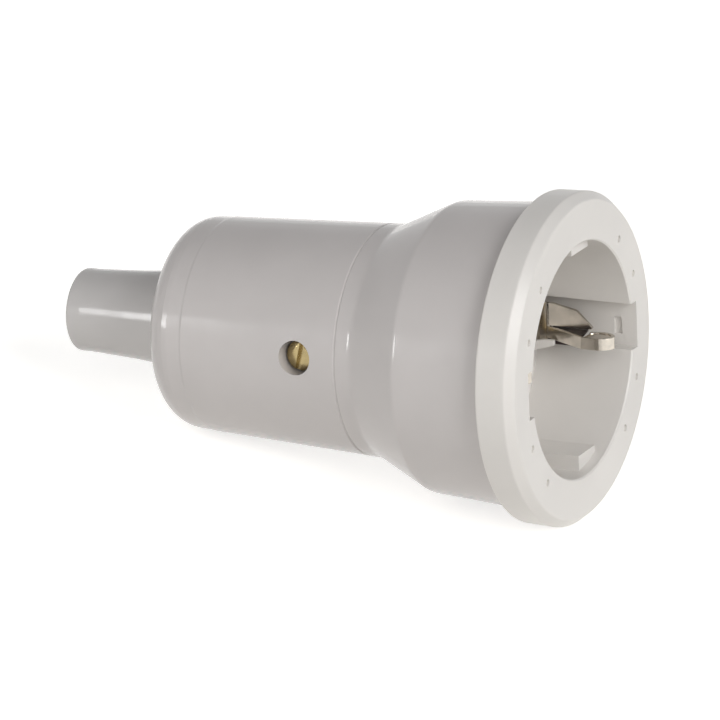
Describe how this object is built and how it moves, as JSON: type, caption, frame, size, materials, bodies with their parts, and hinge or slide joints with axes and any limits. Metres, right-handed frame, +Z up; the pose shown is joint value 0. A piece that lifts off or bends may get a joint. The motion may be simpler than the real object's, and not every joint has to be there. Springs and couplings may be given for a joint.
{
  "type": "earthed cable coupler socket",
  "caption": "Cable coupler with a round recessed earthed socket face, stepped bell housing, tapered handle and cord boot.",
  "frame": {"origin": "on the axis, in the plane of the mating face", "axes": "+X out of the mating face along the axis, +Z up along the line of the two pin holes, Y along the line of the earth contacts"},
  "size_m": [0.093, 0.0556, 0.0556],
  "materials": {
    "insert_plastic": "moulded off-white thermoset, satin gloss",
    "bell_plastic": "moulded warm grey, glossy",
    "handle_plastic": "moulded warm grey, glossy",
    "boot_rubber": "soft grey, slightly shiny",
    "carrier_plastic": "dark brown thermoset",
    "contact_brass": "turned and stamped brass",
    "spring_steel": "spring steel",
    "screw_steel": "zinc plated",
    "clip_sheet": "nickel plated sheet, warm tone",
    "rivet_metal": "plated",
    "side_brass": "dull brass"
  },
  "bodies": {
    "housing": {"socket_insert": "insert_plastic", "front_bell": "bell_plastic", "rear_handle": "handle_plastic", "cord_boot": "boot_rubber", "contact_carrier": "carrier_plastic", "line_sleeve": "contact_brass", "neutral_sleeve": "contact_brass", "line_sleeve_spring": "spring_steel", "neutral_sleeve_spring": "spring_steel", "line_terminal_screw": "screw_steel", "neutral_terminal_screw": "screw_steel", "earth_bridge": "contact_brass", "clip_rivets": "rivet_metal", "earth_terminal_screw": "screw_steel", "earth_wire_plate": "screw_steel", "insert_screw": "screw_steel", "cord_clamp_bar": "carrier_plastic", "cord_clamp_screws": "screw_steel", "side_nut": "contact_brass"},
    "far_clip": {"far_earth_clip": "clip_sheet"},
    "near_clip": {"near_earth_clip": "clip_sheet"},
    "side_fastener": {"side_screw": "side_brass"}
  },
  "joints": [
    {"name": "far_clip_spring", "type": "hinge", "parent": "housing", "child": "far_clip", "pos_m": [-0.0229, 0.0142, 0], "axis": [0, 0, 1], "range_deg": [0, 5], "stiffness_Nm_per_rad": 1.5},
    {"name": "near_clip_spring", "type": "hinge", "parent": "housing", "child": "near_clip", "pos_m": [-0.0229, -0.0142, 0], "axis": [0, 0, -1], "range_deg": [0, 5], "stiffness_Nm_per_rad": 1.5},
    {"name": "side_screw_turn", "type": "hinge", "parent": "housing", "child": "side_fastener", "pos_m": [-0.0436, -0.0152, 0.00133], "axis": [0, -0.9962, 0.0872], "continuous": true}
  ]
}
